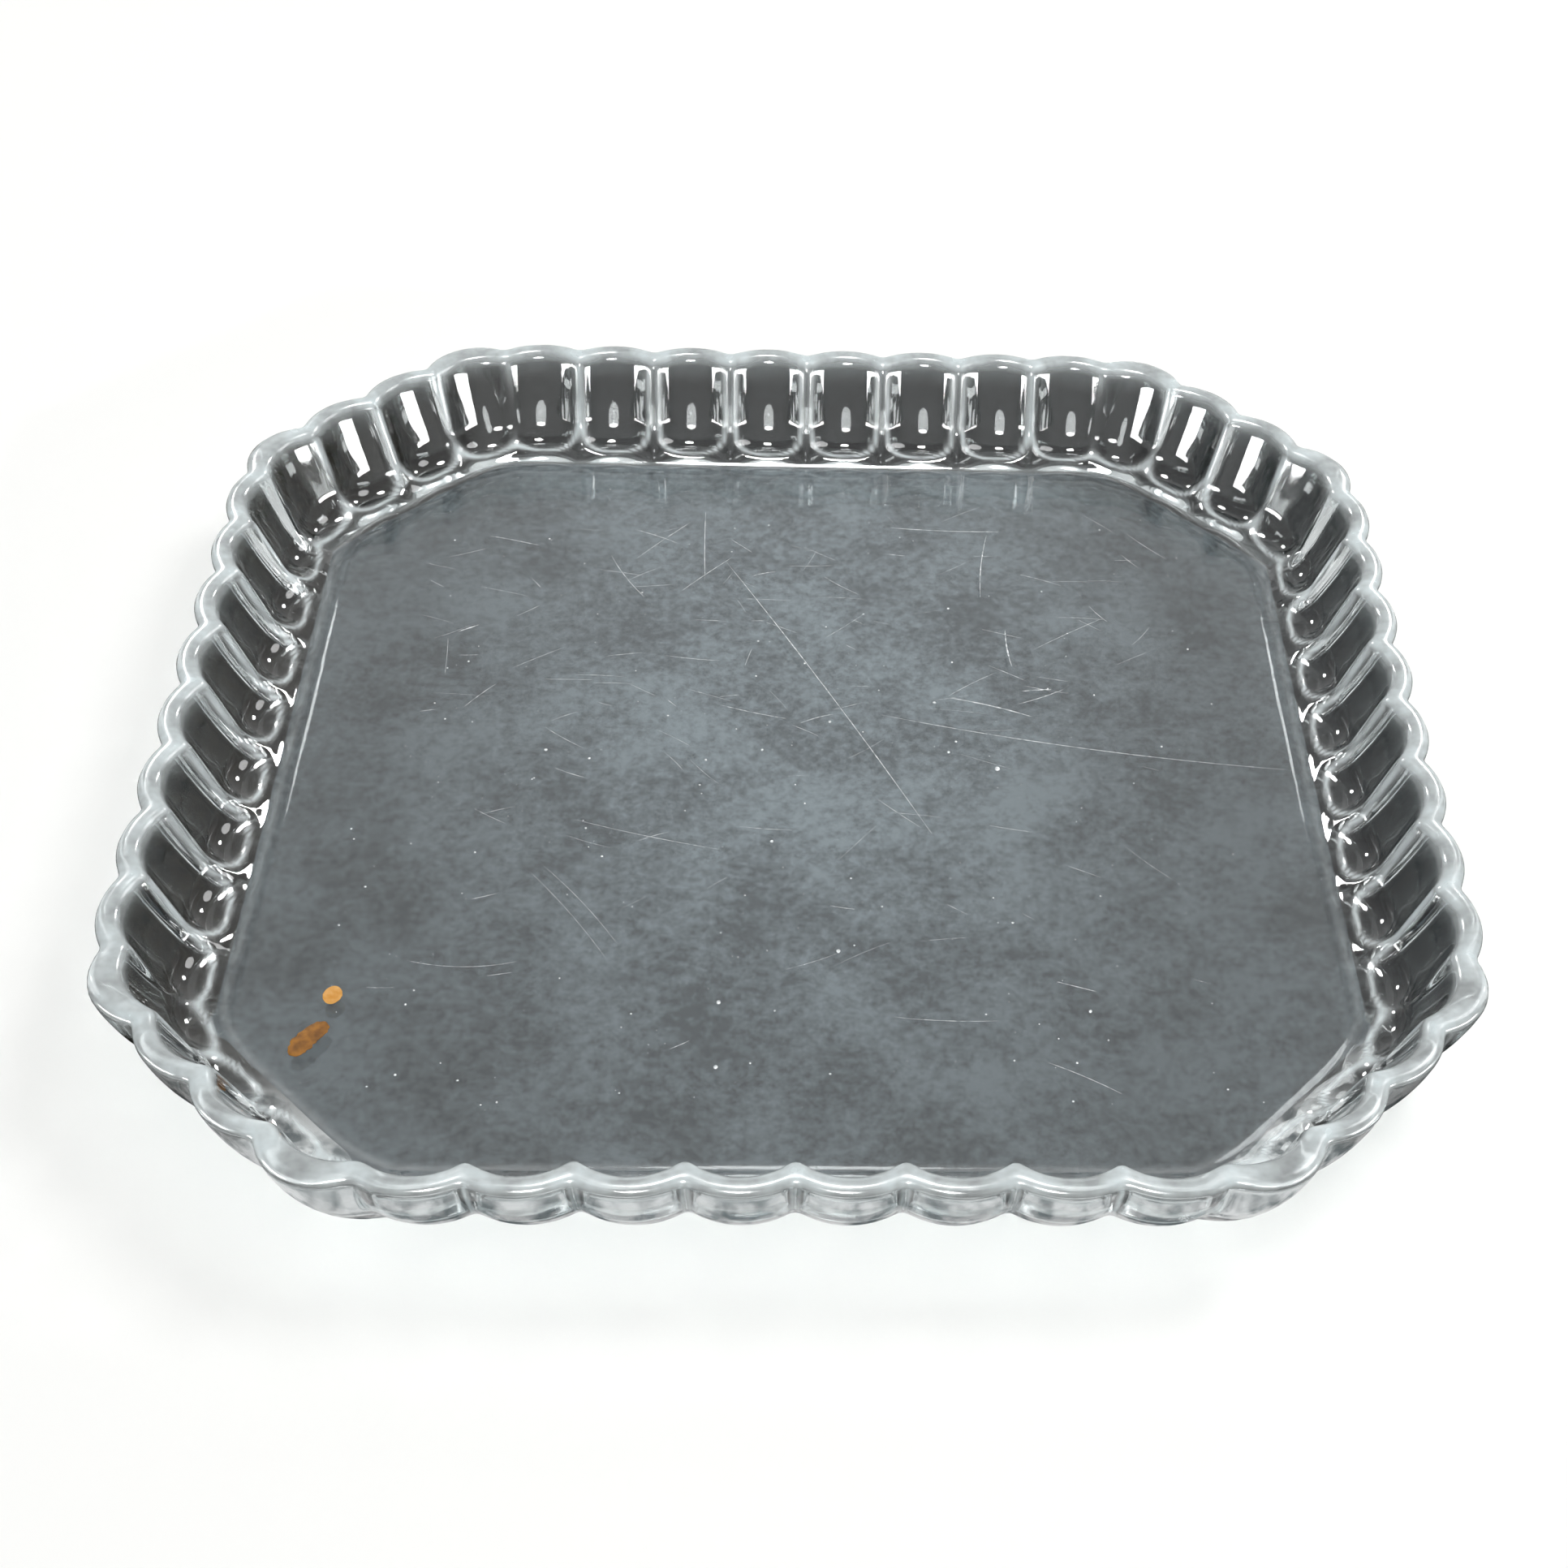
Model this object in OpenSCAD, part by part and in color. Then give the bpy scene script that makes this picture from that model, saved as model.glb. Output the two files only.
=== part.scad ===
// Square pressed-glass tart dish with cut corners and a fluted wall.
// Millimetres, +Z up. The origin is the middle of the flat underside, and the
// four long sides face +X, -X, +Y and -Y.
//
// The dish is one piece of glass. Its wall is a ring of flutes: each flute is a
// round-bottomed scoop on the inside and a bellied lobe on the outside,
// with a thin rib left standing between one scoop and the next.

/* [Dish] */
// Overall height, from the table to the top of the rim
rim_height = 29; // [26:0.5:33]
// Thickness of the flat floor
floor_thickness = 4.4; // [3.6:0.2:5.4]
// Centre of the dish to the rib crests of a long side, at the rim
side_reach = 143; // [142:0.5:144]
// Centre of the dish to the rib crests of a cut corner, at the rim
corner_reach = 168.3; // [167.5:0.1:169]

/* [Wall] */
// Rib crest to the outermost glass of the long sides and corners, at the rim
rim_width = 9.7; // [9.2:0.1:11]
// Extra glass outside each bend between a long side and a cut corner
bend_bulge = 2.2; // [1.5:0.1:2.8]
// Lean of the inside of the wall, away from upright
inner_flare = 21; // [19:0.5:23]
// Lean of the outside of the wall at the rim, away from upright
rim_lean = 12; // [11:0.5:13]
// Radius of the rounding of the outside of the wall, from the rim to the table
belly_radius = 62; // [61:0.5:64]
// The same on the cut corners, where the outside stands more upright
corner_belly_radius = 74; // [72:0.5:76]

/* [Heel] */
// How far the sloping heel stands in from the foot of the ribs
heel_run = 6.8; // [6:0.1:7.5]
// How far the sloping heel climbs from the floor to the foot of the ribs
heel_rise = 4.6; // [4:0.1:5.2]

/* [Flutes] */
// Width of a flute on a long side
flute_pitch = 22; // [21.8:0.1:22.2]
// Width of the first and last flute of a long side
end_pitch = 19; // [18.7:0.1:19.3]
// Width of a flute on a cut corner
corner_pitch = 20.5; // [20.2:0.1:20.8]
// Depth of a scoop below the rib crests
scoop_depth = 4; // [3.4:0.1:4.2]
// Radius of a scoop across the wall
scoop_radius = 16.3; // [16:0.1:16.8]
// Radius of the round bottom of a scoop, seen from its side
bottom_radius = 8.6; // [8:0.1:9]
// How far above the foot of the ribs a scoop starts to round in
bottom_start = 4.2; // [3.8:0.1:4.6]
// Radius of an outside lobe on a long side
lobe_radius = 21; // [20:0.5:22]
// Radius of an outside lobe on a cut corner
corner_lobe_radius = 18; // [17:0.5:19]
// Radius of the outside lobe at each bend
bend_lobe_radius = 15.5; // [15:0.5:16.5]

/* [Hidden] */
$fn = 96;
// Flutes on a long side, and on a cut corner between its two bends.
side_flutes = 8;
corner_flutes = 2;
// Longer than the dish, for cutting blocks.
big = 420;
glass_tint = [0.80, 0.86, 0.87, 0.55];

// Half of a long side, from its middle to the rib that starts the bend.
side_half = (side_flutes / 2 - 1) * flute_pitch + end_pitch;
// The two ribs either side of a bend: one on the long side, one on the corner.
side_rib = [side_half, side_reach];
corner_rib = [corner_reach - corner_pitch, corner_reach + corner_pitch] * sqrt(0.5);
// The bend faces square across the line between those two ribs.
bend_step = corner_rib - side_rib;
bend_turn = atan2(-bend_step[1], bend_step[0]);
bend_middle = (side_rib + corner_rib) / 2;
bend_reach = bend_middle[0] * sin(bend_turn) + bend_middle[1] * cos(bend_turn);
bend_offset = bend_middle[0] * cos(bend_turn) - bend_middle[1] * sin(bend_turn);

// Height of the foot of the ribs, and the way down the wall to it from the rim.
rib_foot = floor_thickness + heel_rise;
rib_length = (rim_height - rib_foot) / cos(inner_flare);
// Inside face of the ribs at their foot, stepped in from the rim.
foot_setback = (rim_height - rib_foot) * tan(inner_flare);

// Middle of flute number i along a long side, measured from the side's middle.
function side_offset(i) =
    i == 0 ? (end_pitch / 2 - side_half) :
    i == side_flutes - 1 ? (side_half - end_pitch / 2) :
    (i - (side_flutes - 1) / 2) * flute_pitch;

// The flutes of one quarter: [turn, offset along the wall, reach].
side_run = [for (i = [0 : side_flutes - 1]) [0, side_offset(i), side_reach]];
corner_run = [for (i = [0 : corner_flutes - 1])
    [45, (i - (corner_flutes - 1) / 2) * corner_pitch, corner_reach]];
bends = [
    [bend_turn, bend_offset, bend_reach],
    [90 - bend_turn, -bend_offset, bend_reach]];

// The flat faces that the ribs and the heel lie on: [turn, reach].
rib_faces = [
    [0, side_reach],
    [bend_turn, bend_reach],
    [45, corner_reach],
    [90 - bend_turn, bend_reach]];

// Places children on the wall: turned to face outwards, at the rim, and leaning.
module on_wall(turn, offset, reach, lean) {
    rotate([0, 0, -turn])
        translate([offset, reach, rim_height])
            rotate([-lean, 0, 0])
                children();
}

// One scoop: a round bar lying down the wall, with its lower edge rounded off.
module scoop(turn, offset, reach) {
    on_wall(turn, offset, reach, inner_flare)
        translate([0, scoop_depth - scoop_radius, bottom_start - rib_length])
            rotate_extrude() {
                square([scoop_radius, rib_length + bottom_radius]);
                translate([0, -bottom_radius])
                    square([scoop_radius - bottom_radius, bottom_radius]);
                translate([scoop_radius - bottom_radius, 0])
                    intersection() {
                        circle(r = bottom_radius);
                        translate([0, -bottom_radius])
                            square([bottom_radius, bottom_radius]);
                    }
            }
}

// One outside lobe: a thick ring stood on edge, rounded both across and down.
module lobe(turn, offset, reach, radius, belly) {
    on_wall(turn, offset, reach, 0)
        translate([0, -belly * cos(rim_lean), belly * sin(rim_lean)])
            rotate([0, 90, 0])
                rotate_extrude()
                    translate([belly - radius, 0])
                        circle(r = radius);
}

// Everything outside one face of the ribs.
module outside_of_ribs(turn, reach) {
    on_wall(turn, 0, reach, inner_flare)
        translate([-big / 2, 0, -big / 2])
            cube([big, big, big]);
}

// Everything under one face of the heel.
module under_heel(turn, reach) {
    rotate([0, 0, -turn])
        translate([0, reach - foot_setback - heel_run, floor_thickness])
            rotate([atan2(heel_rise, heel_run), 0, 0])
                translate([-big / 2, -big, -big])
                    cube([big, 2 * big, big]);
}

// The hollow before it is fluted: leaning faces that stand on a sloping heel.
module plain_hollow() {
    difference() {
        translate([-big / 2, -big / 2, floor_thickness])
            cube([big, big, rim_height]);
        for (side = [0 : 3], face = rib_faces) {
            outside_of_ribs(face[0] + 90 * side, face[1]);
            under_heel(face[0] + 90 * side, face[1]);
        }
    }
}

// The lobed outside, solid right through.
module lobed_block() {
    intersection() {
        union() {
            for (side = [0 : 3]) {
                for (f = side_run)
                    lobe(f[0] + 90 * side, f[1], f[2] + rim_width, lobe_radius, belly_radius);
                for (f = corner_run)
                    lobe(f[0] + 90 * side, f[1], f[2] + rim_width, corner_lobe_radius,
                        corner_belly_radius);
                for (f = bends)
                    lobe(f[0] + 90 * side, f[1], f[2] + rim_width + bend_bulge,
                        bend_lobe_radius, belly_radius);
            }
            intersection() {
                cube([2, 2, 0.5] * (side_reach - 2 * heel_run), center = true);
                rotate([0, 0, 45])
                    cube([2, 2, 0.5] * (corner_reach - 2 * heel_run), center = true);
            }
        }
        translate([-big / 2, -big / 2, 0])
            cube([big, big, rim_height]);
    }
}

// The whole dish, in one piece of glass.
module tart_dish() {
    color(glass_tint)
        difference() {
            lobed_block();
            plain_hollow();
            for (side = [0 : 3], f = concat(side_run, bends, corner_run))
                scoop(f[0] + 90 * side, f[1], f[2]);
        }
}

tart_dish();
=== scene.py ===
# %% [markdown]
# # A square tart dish in pressed glass
#
# The real thing is one piece: a gather of molten soda-lime glass is dropped in
# an iron mould and a plunger presses it into a square dish with cut corners, a
# flat floor and a wall of flutes. The design model already holds its true
# sizes, with sharp edges. This script gives it the look: the soft,
# fire-polished edges that a flame leaves on pressed glass, clear glass that
# bends and mirrors what is round it, and the marks that years of serving
# knives leave on the floor.

import math

import bmesh
import bpy
import numpy as np
from mathutils import Matrix, Vector


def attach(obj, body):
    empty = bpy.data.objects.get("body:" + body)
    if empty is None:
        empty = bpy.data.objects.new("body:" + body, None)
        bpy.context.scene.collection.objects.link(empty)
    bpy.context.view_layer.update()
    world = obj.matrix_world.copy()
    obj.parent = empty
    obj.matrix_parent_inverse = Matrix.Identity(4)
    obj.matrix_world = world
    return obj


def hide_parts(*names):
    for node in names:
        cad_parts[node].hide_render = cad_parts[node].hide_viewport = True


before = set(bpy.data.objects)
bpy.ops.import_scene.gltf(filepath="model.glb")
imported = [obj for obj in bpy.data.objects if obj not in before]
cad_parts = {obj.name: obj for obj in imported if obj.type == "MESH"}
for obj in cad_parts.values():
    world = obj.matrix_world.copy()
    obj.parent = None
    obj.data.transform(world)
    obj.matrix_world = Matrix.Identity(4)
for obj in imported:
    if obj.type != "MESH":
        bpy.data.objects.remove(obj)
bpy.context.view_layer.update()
MM = 0.001

# %% [markdown]
# ## The camera
#
# The dish is looked at from the front and well above, with a long lens held a
# little askew. The place and the three angles fix the line of sight, and a
# small sideways shift sets the dish in the middle of the square frame.

# %% Camera
CAMERA_AT_MM = (0.96, -437.0, 403.3)
YAW, PITCH, ROLL = 0.0698, 0.7466, 0.0593
SENSOR_MM, LENS_MM = 36.0, 54.1752
SIDE_SHIFT = -0.0907


def line_of_sight(yaw, pitch, roll):
    """Returns right, up and forward for a camera turned, tipped down and rolled."""
    forward = Vector((math.sin(yaw) * math.cos(pitch), math.cos(yaw) * math.cos(pitch), -math.sin(pitch)))
    right = Vector((math.cos(yaw), -math.sin(yaw), 0.0))
    up = right.cross(forward)
    rolled_right = math.cos(roll) * right + math.sin(roll) * up
    rolled_up = -math.sin(roll) * right + math.cos(roll) * up
    return rolled_right, rolled_up, forward


camera_data = bpy.data.cameras.new("studio_camera")
camera = bpy.data.objects.new("studio_camera", camera_data)
bpy.context.scene.collection.objects.link(camera)
bpy.context.scene.camera = camera
camera_data.sensor_width = SENSOR_MM
camera_data.lens = LENS_MM
camera_data.shift_x = SIDE_SHIFT
camera_data.clip_start = 0.01
camera_data.clip_end = 20.0
right, up, forward = line_of_sight(YAW, PITCH, ROLL)
turn = Matrix((right, up, -forward)).transposed().to_4x4()
camera.matrix_world = Matrix.Translation(Vector(CAMERA_AT_MM) * MM) @ turn
print("camera stands", round(camera.location.length, 3), "m from the dish")

# %% [markdown]
# ## The shape of the glass
#
# The wall is a ring of 48 flutes. Inside, each flute is a scoop cut by a round
# bar with a rounded end; outside, it is a lobe cut by a wider bar. Modelling
# each flute by hand and welding 48 of them would leave seams, and a seam shows
# at once in glass. So the dish is one sheet, wrapped round like paper round a
# cake tin: a grid whose columns follow the ribs and whose rows run from the
# middle of the underside, up the outside, over the rim and down to the middle
# of the floor. A distance function says how far any point is from the glass,
# and each grid point slides along its own short line until it meets it.

# %% Sizes of the dish, in millimetres
RIM_HEIGHT = 29.0
FLOOR_TOP = 4.4
SIDE_REACH = 143.0
CORNER_REACH = 168.3
RIM_WIDTH = 9.7
BEND_BULGE = 2.2
INNER_FLARE = math.radians(21.0)
RIM_LEAN = math.radians(12.0)
BELLY_RADIUS, CORNER_BELLY_RADIUS = 62.0, 74.0
HEEL_RUN, HEEL_RISE = 6.8, 4.6
FLUTE_PITCH, END_PITCH, CORNER_PITCH = 22.0, 19.0, 20.5
SCOOP_DEPTH, SCOOP_RADIUS = 4.0, 16.3
BOTTOM_RADIUS, BOTTOM_START = 8.6, 4.2
LOBE_RADIUS, CORNER_LOBE_RADIUS, BEND_LOBE_RADIUS = 21.0, 18.0, 15.5

RIB_FOOT = FLOOR_TOP + HEEL_RISE
RIB_LENGTH = (RIM_HEIGHT - RIB_FOOT) / math.cos(INNER_FLARE)
FOOT_SETBACK = (RIM_HEIGHT - RIB_FOOT) * math.tan(INNER_FLARE)

# %% The flutes, once round the dish
half_side = 3 * FLUTE_PITCH + END_PITCH
side_rib = np.array([half_side, SIDE_REACH])
corner_rib = np.array([CORNER_REACH - CORNER_PITCH, CORNER_REACH + CORNER_PITCH]) * math.sqrt(0.5)
bend_step = corner_rib - side_rib
BEND_TURN = math.atan2(-bend_step[1], bend_step[0])
bend_middle = (side_rib + corner_rib) / 2
bend_reach = bend_middle @ [math.sin(BEND_TURN), math.cos(BEND_TURN)]
bend_offset = bend_middle @ [math.cos(BEND_TURN), -math.sin(BEND_TURN)]

# One row per flute: turn, offset, reach, outside reach, lobe radius, belly radius.
quarter = []
for number in range(8):
    offset = (number - 3.5) * FLUTE_PITCH
    if number in (0, 7):
        offset = math.copysign(half_side - END_PITCH / 2, offset)
    quarter.append([0.0, offset, SIDE_REACH, SIDE_REACH + RIM_WIDTH, LOBE_RADIUS, BELLY_RADIUS])
bend = [bend_reach, bend_reach + RIM_WIDTH + BEND_BULGE, BEND_LOBE_RADIUS, BELLY_RADIUS]
quarter.append([BEND_TURN, bend_offset, *bend])
for place in (-0.5, 0.5):
    outside = [CORNER_REACH + RIM_WIDTH, CORNER_LOBE_RADIUS, CORNER_BELLY_RADIUS]
    quarter.append([math.pi / 4, place * CORNER_PITCH, CORNER_REACH, *outside])
quarter.append([math.pi / 2 - BEND_TURN, -bend_offset, *bend])
flutes = np.array([[row[0] + side * math.pi / 2, *row[1:]] for side in range(4) for row in quarter])
FLUTES = len(flutes)
print("flutes:", FLUTES)

# %% Where each rib stands at the rim, and the way its foot steps in
# A nought stands for the flute at a bend, which is as wide as the step across it.
ribs, steps_in = [], []
rib_pitch = [END_PITCH] + [FLUTE_PITCH] * 6 + [END_PITCH, 0, CORNER_PITCH, CORNER_PITCH, 0]
turn_before = flutes[-1][0] - 2 * math.pi
for number, (flute_turn, offset, reach, *_) in enumerate(flutes):
    across = np.array([math.cos(flute_turn), -math.sin(flute_turn)])
    outward = np.array([math.sin(flute_turn), math.cos(flute_turn)])
    width = rib_pitch[number % len(rib_pitch)] or np.linalg.norm(bend_step)
    ribs.append(across * (offset - width / 2) + outward * reach)
    half_bend = (flute_turn - turn_before) / 2
    turn_before = flute_turn
    mitre = flute_turn - half_bend
    steps_in.append(-np.array([math.sin(mitre), math.cos(mitre)]) / math.cos(half_bend))
ribs, steps_in = np.array(ribs), np.array(steps_in)
print("ribs:", len(ribs), " furthest apart each way, mm:", np.ptp(ribs, axis=0).round(1))

# %% [markdown]
# ### The distance function
#
# Signed distance is positive outside a shape and negative inside it. Two shapes
# are joined by taking the smaller distance and cut by taking the larger one.
# Taking them with a soft blend instead of a hard choice rounds the edge where
# they meet, which is just what the fire-polishing flame does to a rib or a rim.


# %% Soft joins, and the distance to the glass
def soft_min(a, b, blend):
    near = np.clip(blend - np.abs(a - b), 0.0, None)
    return np.minimum(a, b) - near * near / (4.0 * blend)


def soft_max(a, b, blend):
    return -soft_min(-a, -b, blend)


def on_wall(x, y, z, flute_turn, offset, reach, lean):
    """Turns a point into a flute's own across, outward and up-the-wall distances."""
    across = x * np.cos(flute_turn) - y * np.sin(flute_turn) - offset
    outward = x * np.sin(flute_turn) + y * np.cos(flute_turn) - reach
    rise = z - RIM_HEIGHT
    return across, outward * np.cos(lean) - rise * np.sin(lean), outward * np.sin(lean) + rise * np.cos(lean)


RIB_ROUNDING, VALLEY_ROUNDING = 1.5, 1.6
RIM_ROUNDING, BASE_ROUNDING = 2.6, 1.6
HEEL_ROUNDING, SCOOP_LIP_ROUNDING = 1.6, 1.0
HEEL_SLOPE = math.atan2(HEEL_RISE, HEEL_RUN)
NEIGHBOURS = (0, -1, 1, -2, 2)


def distance_to_glass(x, y, z, owner, lip_only=False):
    """Distance to the dish for points near its wall; owner is the flute of each point.

    With lip_only it gives how far inside a scoop's lip a point of the surface lies.
    """
    scoops = ribs_face = heel = lobes = core = None
    for step in NEIGHBOURS:
        flute = np.moveaxis(flutes[(owner + step) % FLUTES], -1, 0)
        flute_turn, offset, reach, outside_reach, lobe_radius, belly = flute
        across, out, rise = on_wall(x, y, z, flute_turn, offset, reach, INNER_FLARE)
        bar = np.hypot(across, out - SCOOP_DEPTH + SCOOP_RADIUS)
        below = np.minimum(rise + RIB_LENGTH - BOTTOM_START, 0.0)
        round_end = np.hypot(np.maximum(bar - SCOOP_RADIUS + BOTTOM_RADIUS, 0.0), below) - BOTTOM_RADIUS
        scoop = np.where(below < 0.0, np.maximum(round_end, bar - SCOOP_RADIUS), bar - SCOOP_RADIUS)
        level = x * np.sin(flute_turn) + y * np.cos(flute_turn) - reach + FOOT_SETBACK + HEEL_RUN
        slope = level * math.sin(HEEL_SLOPE) - (z - FLOOR_TOP) * math.cos(HEEL_SLOPE)
        across, outer, rise = on_wall(x, y, z, flute_turn, offset, outside_reach, 0.0)
        ring = np.hypot(outer + belly * math.cos(RIM_LEAN), rise - belly * math.sin(RIM_LEAN))
        lobe = np.hypot(across, ring - belly + lobe_radius) - lobe_radius
        scoops = scoop if scoops is None else soft_min(scoops, scoop, RIB_ROUNDING)
        ribs_face = out if ribs_face is None else np.maximum(ribs_face, out)
        heel = slope if heel is None else soft_max(heel, slope, VALLEY_ROUNDING)
        core = level if core is None else np.maximum(core, level)
        lobes = lobe if lobes is None else soft_min(lobes, lobe, VALLEY_ROUNDING)
    hollow = soft_max(soft_max(ribs_face, heel, HEEL_ROUNDING), FLOOR_TOP - z, HEEL_ROUNDING)
    if lip_only:
        return hollow - scoops
    air = soft_min(hollow, scoops, SCOOP_LIP_ROUNDING)
    solid = np.maximum(np.minimum(lobes, core), -air)
    solid = soft_max(solid, z - RIM_HEIGHT, RIM_ROUNDING)
    return soft_max(solid, -z, BASE_ROUNDING)


# %% [markdown]
# ### The search lines
#
# A column stands on the rim at a share of the way between two ribs. In it, a
# place is two numbers: how far it is stepped in from the rib crests, and how
# high it is. Each row is a start inside the glass and a direction out of it.
# The lines turn like the spokes of a fan round the base edge and round the rim,
# so the mesh is finest where the glass is rounded.

# %% Columns
STEPS_PER_FLUTE = 16
even = np.arange(STEPS_PER_FLUTE) / STEPS_PER_FLUTE
share = 0.45 * even + 0.55 * (1 - np.cos(math.pi * even)) / 2
owner = np.repeat(np.arange(FLUTES), STEPS_PER_FLUTE)
share = np.tile(share, FLUTES)[:, None]
next_rib = (owner + 1) % FLUTES
column_at = ribs[owner] * (1 - share) + ribs[next_rib] * share
column_in = steps_in[owner] * (1 - share) + steps_in[next_rib] * share
column_turn, column_offset = flutes[owner, :2].T
across_rim = column_at[:, 0] * np.cos(column_turn) - column_at[:, 1] * np.sin(column_turn)
side_place = across_rim - column_offset


def wall_middle(height):
    """Half way between the scoop and the lobe of each column, stepped in from the rim."""
    _, _, reach, outside_reach, lobe_radius, belly = flutes[owner].T
    drop = RIM_HEIGHT - height
    scoop = drop * math.tan(INNER_FLARE) - (
        SCOOP_DEPTH - SCOOP_RADIUS + np.sqrt(SCOOP_RADIUS**2 - side_place**2)) / math.cos(INNER_FLARE)
    ring = belly - lobe_radius + np.sqrt(lobe_radius**2 - side_place**2)
    below = drop + belly * math.sin(RIM_LEAN)
    lobe = reach - outside_reach + belly * math.cos(RIM_LEAN) - np.sqrt(ring**2 - below**2)
    middle = (np.minimum(scoop, drop * math.tan(INNER_FLARE)) + lobe) / 2
    # Evened out over nine columns, so that neighbouring columns never cross.
    return sum(np.roll(middle, shift) for shift in range(-4, 5)) / 9


# %% Rows: a start inside the glass and a direction out of it
# Angles turn from straight in (0) through up (90) and outward (180) to down (270).
LOW, HIGH = 2.4, 26.2
STRAIGHT_DOWN, STRAIGHT_UP = math.radians(270), math.radians(90)
BASE_ANGLE, TOP_ANGLE = math.radians(180 + 39), math.radians(180 + 14)
FLAT_BAND, ELBOW_TOP, ELBOW_END = 14.0, 9.5, 22.0
UNDER_ROWS, BASE_ROWS, OUTER_ROWS, RIM_ROWS, INNER_ROWS, ELBOW_ROWS = 7, 6, 14, 14, 15, 24
rows = []


def add_row(start_in, height, angle):
    start_in = np.broadcast_to(np.asarray(start_in, float), owner.shape)
    rows.append((start_in, height, angle))


def steps_between(start, end, count):
    """Even steps from start to end, leaving out the start itself."""
    return np.linspace(start, end, count + 1)[1:]


base_edge = wall_middle(LOW)
for share_in in np.linspace(1.0, 0.0, UNDER_ROWS):
    add_row(base_edge + FLAT_BAND * share_in, LOW, STRAIGHT_DOWN)
for angle in steps_between(STRAIGHT_DOWN, BASE_ANGLE, BASE_ROWS):
    add_row(base_edge, LOW, angle)
for t in steps_between(0.0, 1.0, OUTER_ROWS):
    height = LOW + (HIGH - LOW) * t
    add_row(wall_middle(height), height, BASE_ANGLE + (TOP_ANGLE - BASE_ANGLE) * t)
for angle in steps_between(TOP_ANGLE, INNER_FLARE, RIM_ROWS):
    add_row(wall_middle(HIGH), HIGH, angle)
first_inner_row = len(rows)
for height in steps_between(HIGH, ELBOW_TOP, INNER_ROWS):
    add_row(wall_middle(height), height, INNER_FLARE)
elbow_from, elbow_knee = wall_middle(ELBOW_TOP), wall_middle(LOW)
for t in steps_between(0.0, 1.0, ELBOW_ROWS):
    place = (1 - t) ** 2 * elbow_from + 2 * t * (1 - t) * elbow_knee + t * t * ELBOW_END
    height = (1 - t) ** 2 * ELBOW_TOP + 2 * t * (1 - t) * LOW + t * t * (FLOOR_TOP / 2)
    add_row(place, height, INNER_FLARE + (STRAIGHT_UP - INNER_FLARE) * t)
print("rows on the wall:", len(rows), " columns:", len(owner))

# %% Slide every point out to the surface
starts = np.array([start_in for start_in, _, _ in rows])
heights = np.array([[height] * len(owner) for _, height, _ in rows])
angles = np.array([[angle] for _, _, angle in rows])


def place_at(inward, height):
    x = column_at[:, 0] + inward * column_in[:, 0]
    y = column_at[:, 1] + inward * column_in[:, 1]
    return x, y, height


SEARCH_LENGTH, HALVINGS = 14.0, 24
near = np.zeros_like(starts)
far = np.full_like(starts, SEARCH_LENGTH)
row_owner = np.broadcast_to(owner, starts.shape)
inside = distance_to_glass(*place_at(starts, heights), row_owner)
print("search lines that start outside the glass:", int((inside >= 0).sum()))
for _ in range(HALVINGS):
    middle = (near + far) / 2
    reach_in = starts + middle * np.cos(angles)
    reach_up = heights + middle * np.sin(angles)
    out = distance_to_glass(*place_at(reach_in, reach_up), row_owner) > 0
    far = np.where(out, middle, far)
    near = np.where(out, near, middle)
x, y, z = place_at(starts + near * np.cos(angles), heights + near * np.sin(angles))
rings = np.stack([x, y, z], axis=-1)

# %% [markdown]
# ### Where the glass is dulled and painted with highlights
#
# Handling and washing dull the parts of a glass dish that stand out, and its
# edges gather light from all round: the rim, the lip of each scoop, the top of
# the lobes and the line where the wall meets the floor all look whiter than the
# clear glass between them. That light is painted into the glass here: those
# places are made whiter as a painted highlight, and rougher for the wear. The
# mesh is built row by row, so the simplest way to say where that is is one
# number per point, kept in the mesh for the material to read.


# %% How dull each point is, and how much highlight is painted on it, from 0 to 1
def bump_curve(distance, width):
    return np.exp(-((distance / width) ** 2))


# Rim, scoop lips, lobe tops and foot line: each band is a painted highlight in whiter glass, and rougher
# glass for wear.
RIM_DULL_AND_GLINT, RIM_DULL_AND_GLINT_AT_RIBS, RIM_DULL_AND_GLINT_WIDTH = 0.55, 0.4, 1.6
LOBE_DULL_AND_GLINT, LOBE_DULL_AND_GLINT_FROM, LOBE_DULL_AND_GLINT_RUN = 0.22, 19.0, 8.0
LIP_DULL_AND_GLINT, LIP_DULL_AND_GLINT_DEPTH, LIP_DULL_AND_GLINT_WIDTH = 0.85, 0.8, 0.42
FOOT_DULL_AND_GLINT, FOOT_DULL_AND_GLINT_HEIGHT, FOOT_DULL_AND_GLINT_WIDTH = 0.15, 0.5, 0.3

row_number = np.arange(len(rows))[:, None]
on_inside = row_number >= first_inner_row
near_rib = np.cos(math.pi * share)[:, 0] ** 2
rim_dull_and_glint = (RIM_DULL_AND_GLINT + RIM_DULL_AND_GLINT_AT_RIBS * near_rib) * bump_curve(RIM_HEIGHT - z, RIM_DULL_AND_GLINT_WIDTH)
lobe_dull_and_glint = LOBE_DULL_AND_GLINT * np.clip((z - LOBE_DULL_AND_GLINT_FROM) / LOBE_DULL_AND_GLINT_RUN, 0.0, 1.0)
lip_depth = distance_to_glass(x, y, z, row_owner, lip_only=True)
lip_dull_and_glint = LIP_DULL_AND_GLINT * bump_curve(lip_depth - LIP_DULL_AND_GLINT_DEPTH, LIP_DULL_AND_GLINT_WIDTH)
foot_dull_and_glint = FOOT_DULL_AND_GLINT * bump_curve(z - FLOOR_TOP - FOOT_DULL_AND_GLINT_HEIGHT, FOOT_DULL_AND_GLINT_WIDTH)
wall_dull_and_glint = np.where(on_inside, np.maximum(lip_dull_and_glint, foot_dull_and_glint), lobe_dull_and_glint)
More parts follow.
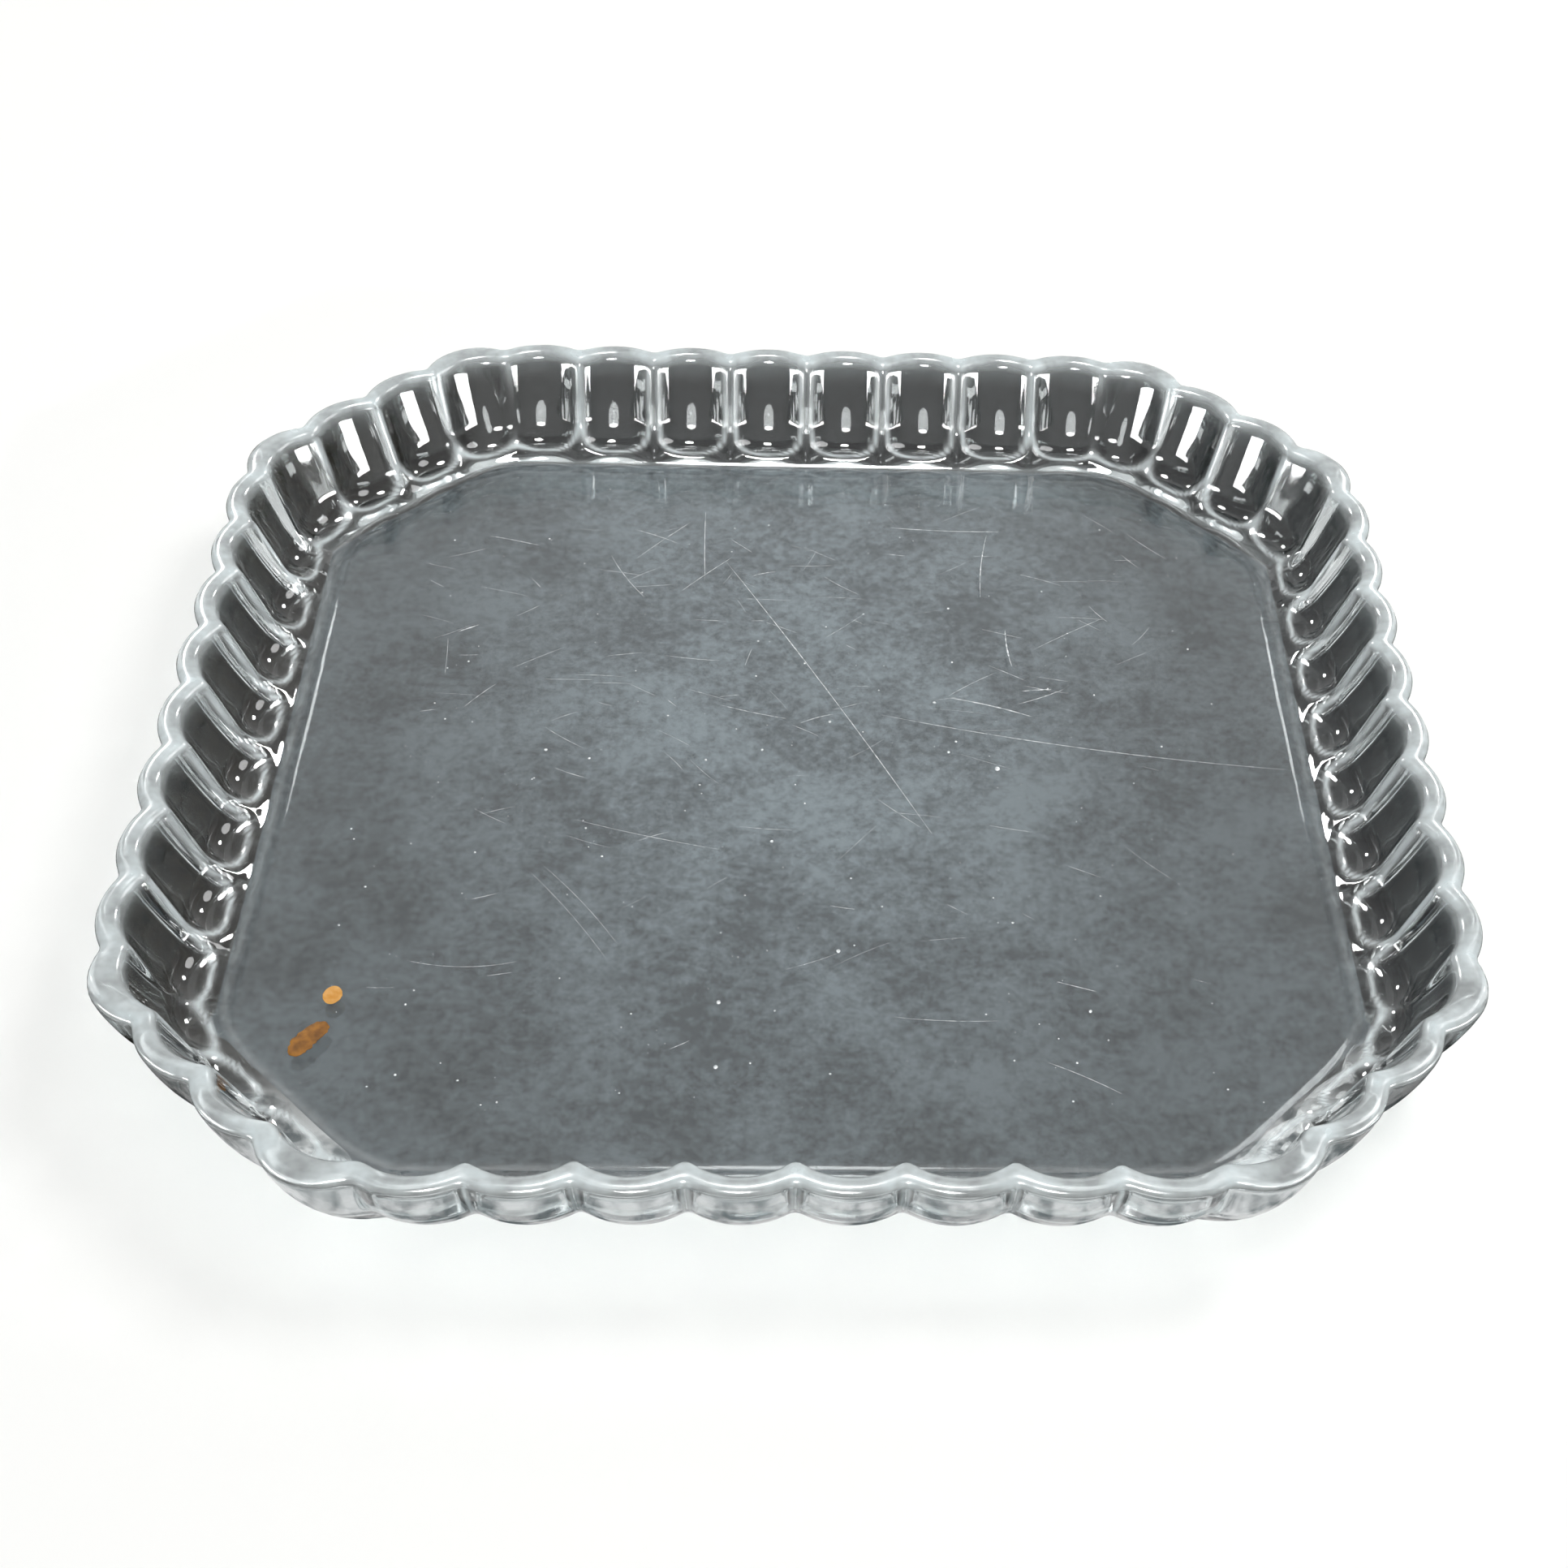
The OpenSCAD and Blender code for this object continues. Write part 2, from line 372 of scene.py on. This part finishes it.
dull_and_glint = np.maximum(rim_dull_and_glint, wall_dull_and_glint)
print("share of the wall that is dulled:", round(float((dull_and_glint > 0.3).mean()), 2))

# %% The flat underside and floor close in on the middle
closing = np.array([0.0, 0.35, 0.7, 0.93])[:, None, None]
flat_scale = np.array([1.0, 1.0, 0.0])
underside = rings[0] * (flat_scale * closing + (1 - flat_scale))
floor_rings = rings[-1] * (flat_scale * closing[::-1] + (1 - flat_scale))
underside[..., 2], floor_rings[..., 2] = 0.0, FLOOR_TOP
rings = np.concatenate([underside, rings, floor_rings])
polished = np.zeros((len(closing), len(owner)))
dull_and_glint = np.concatenate([polished, dull_and_glint, polished])


# %% Rolling a grid into a closed skin
def roll_grid(bm, rings, dull_and_glint=None):
    """Adds a closed skin whose rows are the rings, given in millimetres."""
    row_count, column_count = rings.shape[:2]
    layer = bm.verts.layers.float.get("dull_and_glint") or bm.verts.layers.float.new("dull_and_glint")
    made = bmesh.ops.create_grid(bm, x_segments=column_count, y_segments=row_count - 1, size=1.0)
    for number, vert in enumerate(made["verts"]):
        row, column = divmod(number, column_count + 1)
        vert.co = Vector(rings[row, column % column_count]) * MM
        vert[layer] = 0.0 if dull_and_glint is None else float(dull_and_glint[row, column % column_count])


def link_mesh(name, bm):
    """Merges doubles, turns the faces outward and makes a smooth-shaded object."""
    bmesh.ops.remove_doubles(bm, verts=bm.verts, dist=1e-7)
    bmesh.ops.dissolve_degenerate(bm, dist=1e-8, edges=bm.edges)
    bmesh.ops.recalc_face_normals(bm, faces=bm.faces)
    mesh = bpy.data.meshes.new(name)
    bm.to_mesh(mesh)
    bm.free()
    mesh.shade_smooth()
    thing = bpy.data.objects.new(name, mesh)
    bpy.context.scene.collection.objects.link(thing)
    return thing


def report(thing):
    """Prints what was made: triangles, size, and whether the skin is closed."""
    test = bmesh.new()
    test.from_mesh(thing.data)
    triangles = sum(len(face.verts) - 2 for face in test.faces)
    gaps = sum(not edge.is_manifold for edge in test.edges)
    size = [round(v / MM, 2) for v in thing.dimensions]
    volume = round(test.calc_volume() * 1e6, 3)
    print(thing.name, triangles, "triangles, mm", size, "open edges", gaps, "volume cm3", volume)
    test.free()


skin = bmesh.new()
roll_grid(skin, rings, dull_and_glint)
dish = link_mesh("dish_glass", skin)
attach(dish, "root")
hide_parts("tart_dish")
report(dish)

# %% [markdown]
# ## Marks of use on the floor
#
# A serving knife leaves scratches, and the odd knock leaves a small bright
# nick. They are bruises in the glass that scatter light, so each one is a sliver
# or a grain of dulled glass lying on the floor. Two spots of syrup that were
# baked on and never scrubbed off stay near the left-hand front corner. None of
# these is a part of the dish; they are only what it has been through. A sliver,
# a grain and a blob are all the same thing to make: a bead, swept along a line,
# fat in the middle and closed to a point at each end.

# %% The swept bead
MARK_LIFT = 0.02


def bead(bm, points, width, height, steps, sides, blunt, wobble=0.0, seed=0):
    """Adds a closed bead that follows two or three points along the floor."""
    points = np.array(points, float)
    along = np.append(0.0, np.cumsum(np.linalg.norm(np.diff(points, axis=0), axis=1)))
    degree = min(2, len(points) - 1)
    bend_x, bend_y = (np.polyfit(along / along[-1], points[:, axis], degree) for axis in (0, 1))
    t = (1 - np.cos(np.linspace(0, math.pi, steps + 1))) / 2
    middle_x, middle_y = np.polyval(bend_x, t), np.polyval(bend_y, t)
    run_x, run_y = np.gradient(middle_x), np.gradient(middle_y)
    length = np.hypot(run_x, run_y)
    waver = 1.0 + wobble * np.random.default_rng(seed).uniform(-1, 1, steps + 1)
    fat = np.sin(math.pi * t) ** blunt * waver
    fat[[0, -1]] = 0.0
    turn_round = np.linspace(0, 2 * math.pi, sides, endpoint=False)
    side_shift = width / 2 * fat[:, None] * np.cos(turn_round)
    ring_x = middle_x[:, None] - side_shift * (run_y / length)[:, None]
    ring_y = middle_y[:, None] + side_shift * (run_x / length)[:, None]
    ring_z = FLOOR_TOP + height / 2 * fat[:, None] * np.sin(turn_round) + MARK_LIFT
    roll_grid(bm, np.stack([ring_x, ring_y, ring_z], axis=-1))


# %% Scratches: width, where each starts and ends, and how far it bows to its left
SCRATCHES = [
    (0.24, (-22, 83), (32, -25), 0.9),
    (0.20, (20, 19), (122, 0), -2.3),
    (0.39, (38, 26), (59, 19), 0.6),
    (0.39, (57, 29), (65, 30), 0.1),
    (0.18, (56, 24), (68, 30), -0.3),
    (0.30, (51, 96), (48, 68), -0.7),
    (0.36, (54, 54), (55, 39), -0.4),
    (0.24, (24, 99), (55, 98), -0.6),
    (0.18, (-46, 83), (-32, 100), 0.2),
    (0.18, (-33, 69), (-20, 84), 0.2),
    (0.20, (-28, 105), (-27, 74), -0.2),
    (0.18, (-53, 84), (-43, 66), -0.7),
    (0.20, (-87, 92), (-73, 88), 0.2),
    (0.18, (-47, 96), (-35, 90), 0.3),
    (0.17, (-21, 22), (-4, 17), -0.3),
    (0.14, (-1, 15), (8, 19), 0.4),
    (0.14, (-86, 20), (-79, 29), 0.2),
    (0.39, (-91, 50), (-86, 53), 0),
    (0.11, (-55, -21), (-19, -31), -0.6),
    (0.12, (61, 46), (81, 60), 0.2),
    (0.12, (6, 50), (16, 60), -0.2),
    (0.18, (-14, 76), (-8, 78), 0.2),
    (0.11, (-89, -68), (-64, -68), -1.8),
    (0.09, (-64, -39), (-44, -67), 0.7),
    (0.09, (-61, -37), (-42, -62), 0.8),
    (0.15, (55, -97), (71, -106), 0.4),
    (0.18, (59, -73), (68, -76), 0),
    (0.12, (21, -84), (45, -85), -0.6),
]
FINE_SCRATCHES = 110
LONG_SLIVER = {"height": 0.05, "steps": 24, "sides": 4, "blunt": 0.4, "wobble": 0.45}
FINE_SLIVER = {"height": 0.03, "steps": 10, "sides": 4, "blunt": 0.5, "wobble": 0.4}
skin = bmesh.new()
for number, (width, start, end, bow) in enumerate(SCRATCHES):
    start, end = np.array(start, float), np.array(end, float)
    chord = end - start
    left = np.array([-chord[1], chord[0]]) / np.linalg.norm(chord)
    bead(skin, [start, start + chord / 2 + bow * left, end], width, seed=number, **LONG_SLIVER)
draw = np.random.default_rng(7)
for number in range(FINE_SCRATCHES):
    start = np.array([draw.uniform(-100, 100), draw.triangular(-105, 85, 110)])
    heading, length = draw.normal(0.0, 0.6), draw.uniform(3.0, 16.0)
    step = length / 2 * np.array([math.cos(heading), math.sin(heading)])
    sag = draw.uniform(-0.06, 0.06) * np.array([-step[1], step[0]])
    width = draw.uniform(0.05, 0.15)
    bead(skin, [start - step, start + sag, start + step], width, seed=number, **FINE_SLIVER)
scratches = link_mesh("knife_scratches", skin)
report(scratches)

# %% Nicks: place and size of each clear one, then a scatter of specks
NICKS = [
    (-64, 4, 0.5), (49, -1, 0.8), (9, -64, 0.6), (-18, -80, 0.6), (-18, -99, 0.6), (66, -82, 0.5),
    (-12, 48, 0.4), (7, 16, 0.45), (34, 24, 0.5), (-53, 1, 0.4), (-24, 1, 0.4), (-10, 5, 0.4),
    (16, 60, 0.4), (39, 63, 0.4), (-7, -28, 0.5), (-52, -24, 0.35), (39, 9, 0.4), (37, 5, 0.45),
]
SPECKS = 420
NICK = {"height": 0.2, "steps": 8, "sides": 10, "blunt": 0.6, "wobble": 0.15}
SPECK = {"height": 0.05, "steps": 4, "sides": 6, "blunt": 0.5, "wobble": 0.2}
NICK_WIDTH_SHARE = 1.7
skin = bmesh.new()
for number, (nick_x, nick_y, size) in enumerate(NICKS):
    ends = [(nick_x, nick_y - size), (nick_x + 0.1, nick_y + size)]
    bead(skin, ends, NICK_WIDTH_SHARE * size, seed=number, **NICK)
for number in range(SPECKS):
    at = np.array([draw.uniform(-108, 108), draw.uniform(-112, 112)])
    width = 0.16 + 0.5 * draw.uniform(0, 1) ** 4
    bead(skin, [at - [0, width / 2], at + [0.02, width / 2]], width, seed=number, **SPECK)
nicks = link_mesh("surface_nicks", skin)
report(nicks)


# %% Baked-on syrup: a round spot and a long one
def spot(name, points, width, **form):
    skin = bmesh.new()
    bead(skin, points, width, height=0.5, sides=24, **form)
    thing = link_mesh(name, skin)
    report(thing)
    return thing


round_spot = spot("syrup_spot_round", [(-104.3, -81.4), (-103.9, -75.9)], 4.4,
                  steps=16, blunt=0.5, wobble=0.05, seed=3)
long_spot = spot("syrup_spot_long", [(-110.0, -96.6), (-108.2, -92.2), (-103.8, -87.2)], 5.2,
                 steps=22, blunt=0.3, wobble=0.12, seed=12)
for mark in (scratches, nicks, round_spot, long_spot):
    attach(mark, "root")

# %% [markdown]
# ## Finishes
#
# Each finish is a small node tree. One helper turns an sRGB hex colour into the
# linear light that the renderer works in, and one adds a node with its settings
# and links, so that every material below reads as a short recipe. The scale of a
# noise is roughly how many of its grains go side by side in a metre.


# %% Helpers for materials
def linear(hex_colour):
    """Turns an sRGB hex colour into linear red, green, blue and alpha."""
    parts = [int(hex_colour[i : i + 2], 16) / 255 for i in (1, 3, 5)]
    return [p / 12.92 if p <= 0.04045 else ((p + 0.055) / 1.055) ** 2.4 for p in parts] + [1.0]


def add(tree, kind, settings=None, stops=None, **inputs):
    """Adds a node, sets its properties and ramp stops, and sets or links its inputs.

    An input is named by its label, or by its number after an i where labels repeat.
    """
    node = tree.nodes.new("ShaderNode" + kind)
    for key, value in (settings or {}).items():
        setattr(node, key, value)
    for number, (place, colour) in enumerate(stops or []):
        stop = node.color_ramp.elements[number]
        stop.position, stop.color = place, linear(colour)
    for key, value in inputs.items():
        numbered = key[0] == "i" and key[1:].isdigit()
        socket = node.inputs[int(key[1:]) if numbered else key.replace("_", " ")]
        if isinstance(value, bpy.types.NodeSocket):
            tree.links.new(value, socket)
        else:
            socket.default_value = value
    return node


def new_material(name):
    """Makes an empty node material and returns it with its tree."""
    material = bpy.data.materials.new(name)
    material.use_nodes = True
    material.node_tree.nodes.clear()
    return material, material.node_tree


# %% Pressed soda-lime glass
# Clear, with the faint ripple that a chilled mould leaves, about 14 mm from
# crest to crest. Where the mesh marks dulling and painted highlight, in streaks
# 4 mm wide that run down the wall, the glass turns rougher for the wear and
# whiter as a painted highlight.
GLASS_IOR = 1.52
POLISHED_ROUGHNESS, DULLED_ROUGHNESS, DULL_AND_GLINT_SCATTER = 0.045, 0.25, 0.95
glass, tree = new_material("pressed_soda_lime_glass")
where = add(tree, "TexCoord").outputs["Object"]
ripple = add(tree, "TexNoise", Vector=where, Scale=70.0, Detail=2.0, Roughness=0.45)
ripple_bump = add(tree, "Bump", Height=ripple.outputs["Fac"], Strength=0.10, Distance=0.0006)
stretch = add(tree, "VectorMath", {"operation": "MULTIPLY"}, i0=where, i1=(1.0, 1.0, 0.2))
streaks = add(tree, "TexNoise", Vector=stretch.outputs[0], Scale=240.0, Detail=2.0, Roughness=0.5)
patchy = add(tree, "MapRange", Value=streaks.outputs["Fac"],
             From_Min=0.3, From_Max=0.7, To_Min=0.6, To_Max=1.05)
worn_and_glint = add(tree, "Attribute", {"attribute_name": "dull_and_glint"})
product = add(tree, "Math", {"operation": "MULTIPLY"}, i0=worn_and_glint.outputs["Fac"], i1=patchy.outputs["Result"])
haze_and_glint = product.outputs[0]
# Less clear, whiter glass here is a painted highlight; the added roughness is the wear.
clear = add(tree, "Math", {"operation": "MULTIPLY_ADD"}, i0=haze_and_glint, i1=-DULL_AND_GLINT_SCATTER, i2=1.0)
rough = add(tree, "Math", {"operation": "MULTIPLY_ADD"}, i0=haze_and_glint, i1=DULLED_ROUGHNESS, i2=POLISHED_ROUGHNESS)
tint = add(tree, "Mix", {"data_type": "RGBA"}, i0=haze_and_glint, i6=linear("#f4f9f9"), i7=linear("#ccd8da"))
shader = add(tree, "BsdfPrincipled", Normal=ripple_bump.outputs["Normal"], Base_Color=tint.outputs[2],
             Roughness=rough.outputs[0], Transmission_Weight=clear.outputs[0], IOR=GLASS_IOR)
add(tree, "OutputMaterial", Surface=shader.outputs[0])
dish.data.materials.append(glass)

# %% Bruised glass in the scratches and nicks
# Crushed glass is white, because every splinter turns the light another way.
# The splinters are about a millimetre apart, coarser than real ones, to show.
bruise, tree = new_material("bruised_glass")
where = add(tree, "TexCoord").outputs["Object"]
crush = add(tree, "TexNoise", Vector=where, Scale=900.0, Detail=4.0)
tone = add(tree, "ValToRGB", stops=[(0.35, "#8f979a"), (0.60, "#f2f5f6")], Fac=crush.outputs["Fac"])
shader = add(tree, "BsdfPrincipled", Base_Color=tone.outputs["Color"], Roughness=0.45)
add(tree, "OutputMaterial", Surface=shader.outputs[0])
for mark in (scratches, nicks):
    mark.data.materials.append(bruise)


# %% Baked-on syrup
# Burnt sugar is a deep brown where it lies thick and amber where it is thin, and
# its crust is uneven every couple of millimetres. It is duller than the glass.
def syrup(name, thin, thick):
    paint, tree = new_material(name)
    where = add(tree, "TexCoord").outputs["Object"]
    crust = add(tree, "TexNoise", Vector=where, Scale=420.0, Detail=5.0)
    tone = add(tree, "ValToRGB", stops=[(0.35, thick), (0.65, thin)], Fac=crust.outputs["Fac"])
    bump = add(tree, "Bump", Height=crust.outputs["Fac"], Strength=0.4, Distance=0.0002)
    shader = add(tree, "BsdfPrincipled", Base_Color=tone.outputs["Color"], Normal=bump.outputs["Normal"],
                 Roughness=0.5, Specular_IOR_Level=0.15)
    add(tree, "OutputMaterial", Surface=shader.outputs[0])
    return paint


round_spot.data.materials.append(syrup("baked_on_syrup_pale", "#d2a058", "#c4852c"))
long_spot.data.materials.append(syrup("baked_on_syrup_dark", "#94600f", "#6c4204"))
for thing in (dish, scratches, nicks, round_spot, long_spot):
    print(thing.name, "is finished in", thing.data.materials[0].name)

# %% [markdown]
# ## The stage
#
# A wide sheet of pale paper lies under a plain white studio. Clear glass has no
# look of its own, only what it bends and mirrors, so two dark cards lie under
# the dish. One stands for the table it rests on; the other, a near-black ring
# under the wall, is painted shade, the dark that the glass shows there. Only the
# glass sees them, so the paper stays pale round it.

# %% Pale paper
STUDIO_FLOOR_SIZE, STUDIO_FLOOR_HEIGHT = 20.0, -0.0006
bm = bmesh.new()
bmesh.ops.create_grid(bm, x_segments=1, y_segments=1, size=STUDIO_FLOOR_SIZE / 2)
bmesh.ops.translate(bm, verts=bm.verts, vec=(0.0, 0.0, STUDIO_FLOOR_HEIGHT))
floor = link_mesh("studio_floor", bm)
paper, tree = new_material("pale_paper")
where = add(tree, "TexCoord").outputs["Object"]
grain = add(tree, "TexNoise", Vector=where, Scale=900.0, Detail=2.0)
bump = add(tree, "Bump", Height=grain.outputs["Fac"], Strength=0.05, Distance=0.0002)
shader = add(tree, "BsdfPrincipled", Normal=bump.outputs["Normal"], Roughness=0.8,
             Base_Color=linear("#f4f4f2"))
add(tree, "OutputMaterial", Surface=shader.outputs[0])
floor.data.materials.append(paper)
print("floor", STUDIO_FLOOR_SIZE, "m wide, at", STUDIO_FLOOR_HEIGHT, "m")


# %% The shape of a card
def card(name, reach_from, reach_to, height):
    """A flat card shaped like the dish, or a ring of one, that only the glass can see."""
    bm = bmesh.new()
    for reach in (reach_to, reach_from) if reach_from else (reach_to,):
        cut = reach * CORNER_REACH / SIDE_REACH * math.sqrt(2) - reach
        loop = bmesh.ops.create_circle(bm, segments=8, radius=1.0)["verts"]
        for number, vert in enumerate(loop):
            side, second = divmod(number, 2)
            along, out = (reach, cut) if second else (cut, reach)
            vert.co = Matrix.Rotation(-side * math.pi / 2, 3, "Z") @ Vector((along, out, height)) * MM
    if reach_from:
        bmesh.ops.bridge_loops(bm, edges=bm.edges)
    else:
        bmesh.ops.contextual_create(bm, geom=bm.edges[:])
    thing = link_mesh(name, bm)
    thing.visible_camera = False
    thing.visible_shadow = False
    thing.visible_diffuse = False
    return thing


# %% [markdown]
# ### The paint of the cards
#
# The paint is a cloudy slate with a fine grain. Three simple changes make it
# read as a table in a room: it glows a little in the middle, it warms toward
# the left, and the part under the front of the wall is pale and patchy, as if
# light from a window fell there. It gives its own light, so that the shadow of
# the dish doesn't change it.

# %% Card paint
WARM_FROM, WARM_TO = -0.06, -0.15
POOL_FROM, POOL_TO = 0.03, 0.11
POOL_SHAPE, POOL_SHIFT = (1.0, 0.6, 1.0), (0.0, -0.018, 0.0)
FRONT_FROM, FRONT_TO = -0.20, 0.0
PATCH_ENDS, PATCH_MIDDLE = (0.14, 0.50), (0.19, 0.38)


def card_paint(name, dark, light, glow_range, warm, front_light):
    """Cloudy paint with a fine grain, warmer toward the left and paler in front."""
    paint, tree = new_material(name)
    where = add(tree, "TexCoord").outputs["Object"]
    cloud = add(tree, "TexNoise", Vector=where, Scale=26.0, Detail=4.0, Roughness=0.7)
    grain = add(tree, "TexNoise", Vector=where, Scale=330.0, Detail=6.0, Roughness=0.75)
    both = add(tree, "Mix", {"data_type": "FLOAT"}, Factor=0.5,
               A=cloud.outputs["Fac"], B=grain.outputs["Fac"])
    tone = add(tree, "ValToRGB", stops=[(0.42, dark), (0.58, light)], Fac=both.outputs["Result"])
    axes = add(tree, "SeparateXYZ", Vector=where)
    left = add(tree, "MapRange", Value=axes.outputs["X"], From_Min=WARM_FROM, From_Max=WARM_TO)
    tint = add(tree, "Mix", {"data_type": "RGBA", "blend_type": "MULTIPLY"},
               i0=left.outputs["Result"], i6=tone.outputs["Color"], i7=linear(warm))
    pool = add(tree, "VectorMath", {"operation": "MULTIPLY_ADD"}, i0=where, i1=POOL_SHAPE, i2=POOL_SHIFT)
    reach = add(tree, "VectorMath", {"operation": "LENGTH"}, i0=pool.outputs[0])
    glow = add(tree, "MapRange", Value=reach.outputs["Value"], From_Min=POOL_FROM, From_Max=POOL_TO,
               To_Min=glow_range[0], To_Max=glow_range[1])
    front = add(tree, "MapRange", Value=axes.outputs["Y"], From_Min=FRONT_FROM, From_Max=FRONT_TO)
    ends = [(place, "#000000") for place in PATCH_ENDS]
    patch = add(tree, "ValToRGB", stops=ends, Fac=front.outputs["Result"])
    for place in PATCH_MIDDLE:
        patch.color_ramp.elements.new(place).color = (front_light, front_light, front_light, 1.0)
    gleam = add(tree, "TexNoise", Vector=where, Scale=95.0, Detail=3.0, Roughness=0.6)
    pale = add(tree, "ValToRGB", stops=[(0.40, "#6d7679"), (0.55, "#ffffff")], Fac=gleam.outputs["Fac"])
    face = add(tree, "Mix", {"data_type": "RGBA"}, i0=patch.outputs["Color"], i6=tint.outputs[2],
               i7=pale.outputs["Color"])
    shader = add(tree, "Emission", Color=face.outputs[2], Strength=glow.outputs["Result"])
    add(tree, "OutputMaterial", Surface=shader.outputs[0])
    return paint


# %% One card under the floor, and a ring of painted shade under the wall
CARD_MEETS_RING, RING_REACH = 131.0, 230.0
table_card = card("slate_card", 0.0, CARD_MEETS_RING, -0.25)
slate = card_paint("slate_card", "#3c4246", "#6c757a", (1.42, 0.66), "#eef0f0", 0.0)
table_card.data.materials.append(slate)
# The ring is painted shade: near black under the wall, with a pale patch of painted light under the front.
ring_card = card("painted_shade_ring_card", CARD_MEETS_RING, RING_REACH, -0.3)
painted_shade_black = card_paint("painted_shade_ring_card", "#08090a", "#26292a", (0.8, 0.8), "#ffd9a8", 0.9)
ring_card.data.materials.append(painted_shade_black)
print("cards reach", CARD_MEETS_RING, "and", RING_REACH, "mm from the middle")

# %% [markdown]
# ## Light
#
# The studio is white overhead and a little darker at the two sides, which gives
# the lobes there something to mirror besides white. One large soft light throws
# a faint shadow. The rest are for the glass alone, because glass shows its form
# by small bright reflections. Two stand by the camera, a small bright one and a
# wide dim one, for the glow low in each scoop. One hangs overhead for the bright
# line at the foot of the wall, and a pair behind and a pair beside light the
# ribs and the heel.

# %% The white studio
OVERHEAD_LIGHT, FLANK_LIGHT = 0.96, 0.62
FLANK_STARTS, FLANK_FULL = 0.45, 0.95
world = bpy.data.worlds.new("studio")
world.use_nodes = True
bpy.context.scene.world = world
tree = world.node_tree
tree.nodes.clear()
where = add(tree, "TexCoord").outputs["Generated"]
axes = add(tree, "SeparateXYZ", Vector=where)
sideways = add(tree, "Math", {"operation": "ABSOLUTE"}, i0=axes.outputs["X"])
flanks = add(tree, "MapRange", Value=sideways.outputs[0], From_Min=FLANK_STARTS, From_Max=FLANK_FULL,
             To_Min=OVERHEAD_LIGHT, To_Max=FLANK_LIGHT)
sky = add(tree, "Background", Color=linear("#ffffff"), Strength=flanks.outputs["Result"])
add(tree, "OutputWorld", Surface=sky.outputs[0])
print("studio light", OVERHEAD_LIGHT, "overhead and", FLANK_LIGHT, "at the flanks")


# %% Lights
def soft_light(name, place, size, radiance, wide=None, on_glass_only=True):
    """An area light aimed at the dish; radiance is how bright its face looks."""
    data = bpy.data.lights.new(name, "AREA")
    if wide:
        data.shape = "RECTANGLE"
        data.size, data.size_y = wide, size
        area = wide * size
    else:
        data.shape = "DISK"
        data.size = size
        area = math.pi * size * size / 4
    data.energy = radiance * math.pi * area
    light = bpy.data.objects.new(name, data)
    bpy.context.scene.collection.objects.link(light)
    light.location = place
    light.rotation_euler = (-Vector(place)).to_track_quat("-Z", "Y").to_euler()
    if on_glass_only:
        light.visible_diffuse = False
        light.visible_camera = False
    return light


def around(azimuth, elevation, distance):
    """A place round the dish: azimuth from the back, clockwise, in degrees."""
    a, e = math.radians(azimuth), math.radians(elevation)
    level = distance * math.cos(e)
    return (level * math.sin(a), level * math.cos(a), distance * math.sin(e))


soft_light("key_light", (0.9, 0.5, 1.3), 0.6, 8.0, on_glass_only=False)
soft_light("flash", (-0.03, -0.45, 0.45), 0.03, 1500.0)
soft_light("flash_glow", (-0.03, -0.45, 0.46), 0.22, 22.0)
soft_light("ceiling_card", around(0, 73, 1.5), 0.28, 60.0)
for name, side in (("left", -1), ("right", 1)):
    soft_light("back_" + name, around(side * 30, 33, 1.6), 0.20, 75.0)
for name, side in (("left", -1), ("right", 1)):
    soft_light("edge_" + name, around(side * 115, 7, 0.9), 0.16, 30.0, wide=0.5)
bpy.context.scene.view_settings.view_transform = "Standard"
